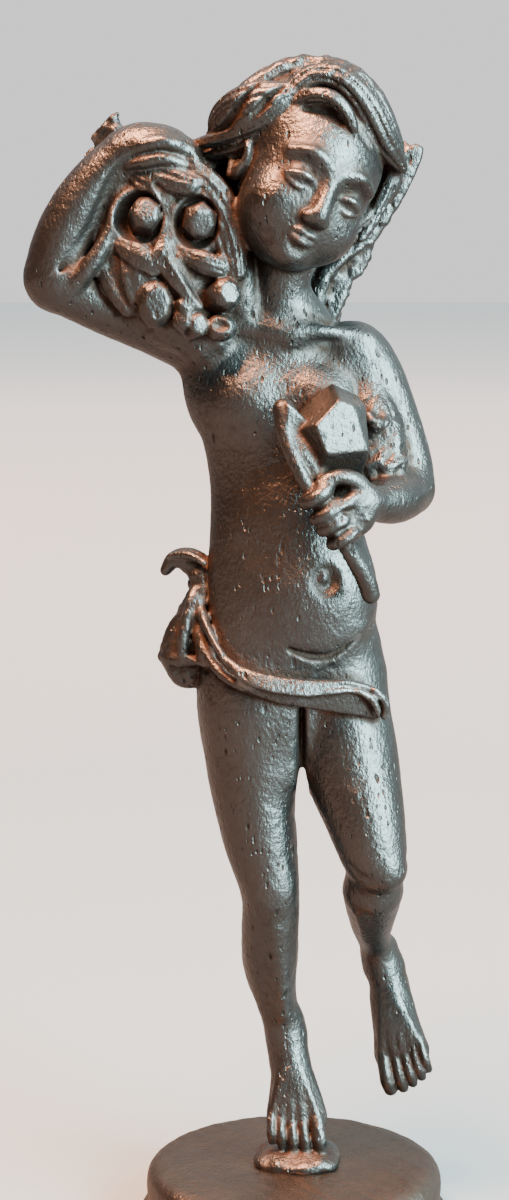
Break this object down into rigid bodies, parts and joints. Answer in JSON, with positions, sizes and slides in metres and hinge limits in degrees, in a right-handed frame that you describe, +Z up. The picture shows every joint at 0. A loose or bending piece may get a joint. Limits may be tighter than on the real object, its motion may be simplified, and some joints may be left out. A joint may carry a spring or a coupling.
{
  "type": "statuette",
  "caption": "Cast metal statuette of a young winged figure on tiptoe, with a sheaf of buds on the shoulder and a rod in hand, on a turned disc base.",
  "frame": {"origin": "centre of the disc base's flat underside", "axes": "+Z up, the figure faces -Y, and its raised right arm is towards -X"},
  "size_m": [0.0568, 0.0432, 0.1584],
  "materials": {
    "cast_metal": "worn dark silver cast metal with casting pits and brown patina in the recesses",
    "base_metal": "turned cast metal, matter and browner than the figure"
  },
  "bodies": {
    "root": {"angel_figure": "cast_metal", "disc_base": "base_metal"}
  },
  "joints": []
}
